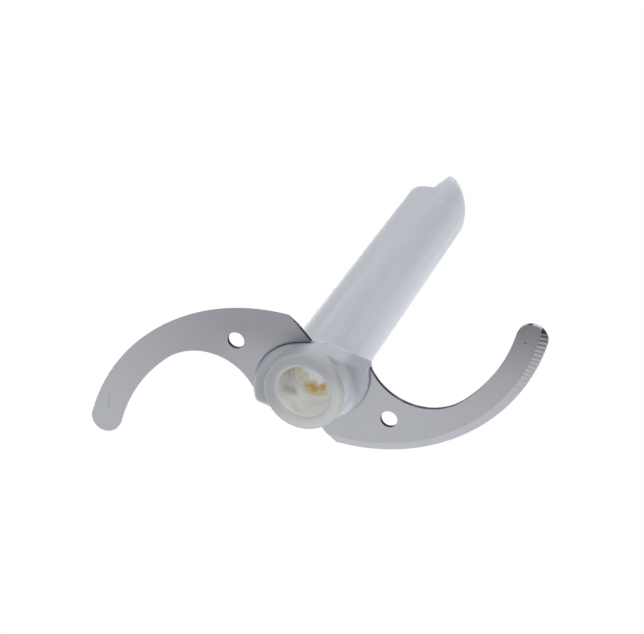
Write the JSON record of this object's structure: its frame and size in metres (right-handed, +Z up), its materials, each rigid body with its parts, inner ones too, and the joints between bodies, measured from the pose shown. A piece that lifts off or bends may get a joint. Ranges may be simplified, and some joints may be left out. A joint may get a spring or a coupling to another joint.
{
  "type": "food processor blade",
  "caption": "Chopping knife for a food processor: two sickle steel blades set in the hub of a tall hollow plastic stem with a drive socket below and a claw on top.",
  "frame": {"origin": "centre of the collar's foot, on the stem axis", "axes": "+Z up the stem axis towards the claw; the two blade holes lie on the X axis"},
  "size_m": [0.132, 0.1142, 0.167],
  "materials": {
    "milky_plastic": "milky, slightly translucent moulded plastic with a smooth satin surface",
    "blade_steel_up": "bead-blasted matt stainless steel sheet, bevel ground on the upper side",
    "blade_steel_down": "bead-blasted matt stainless steel sheet, bevel ground on the underside",
    "amber_plastic": "amber moulded plastic"
  },
  "bodies": {
    "root": {"stem": "milky_plastic", "bevel_up_blade": "blade_steel_up", "bevel_down_blade": "blade_steel_down", "drive_bush": "amber_plastic"}
  },
  "joints": []
}
